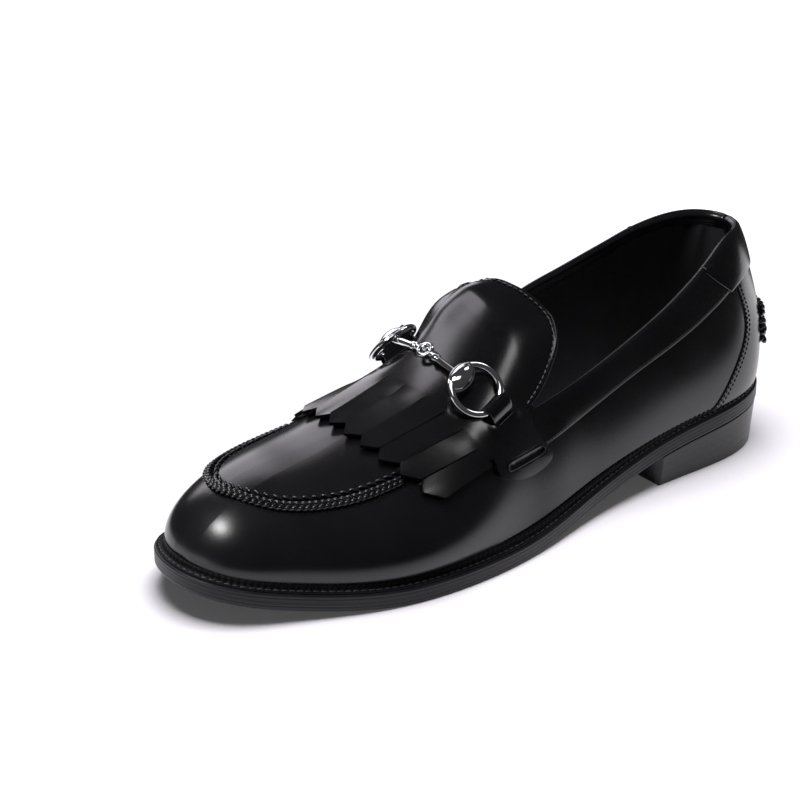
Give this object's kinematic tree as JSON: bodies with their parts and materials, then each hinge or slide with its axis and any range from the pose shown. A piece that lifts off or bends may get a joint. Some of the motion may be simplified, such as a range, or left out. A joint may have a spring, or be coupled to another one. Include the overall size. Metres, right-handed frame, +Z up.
{
  "type": "bit loafer",
  "caption": "Left slip-on loafer in smooth leather with a fringed kiltie, a metal snaffle bit, a plaited apron seam, a welted sole and a low stacked heel.",
  "frame": {"origin": "middle of the shoe's box, on the floor", "axes": "+Z up, the toe points towards -Y, the wearer's outer side is +X"},
  "size_m": [0.1, 0.2952, 0.0975],
  "materials": {
    "upper_leather": "smooth polished black leather",
    "insole_lining": "matt black lining leather",
    "welt_rubber": "dark ribbed welt",
    "sole_rubber": "satin black sole edge with fine lines",
    "bit_chrome": "polished silver plate"
  },
  "bodies": {
    "root": {"upper": "upper_leather", "kiltie_saddle": "upper_leather", "apron_braid": "upper_leather", "heel_braid": "upper_leather", "keeper_lateral": "upper_leather", "keeper_medial": "upper_leather", "insole": "insole_lining", "welt": "welt_rubber", "outsole": "sole_rubber", "heel": "sole_rubber", "bit_bar_lateral": "bit_chrome", "bit_bar_medial": "bit_chrome", "bit_ring_lateral": "bit_chrome", "bit_ring_medial": "bit_chrome", "bit_link": "bit_chrome"}
  },
  "joints": []
}
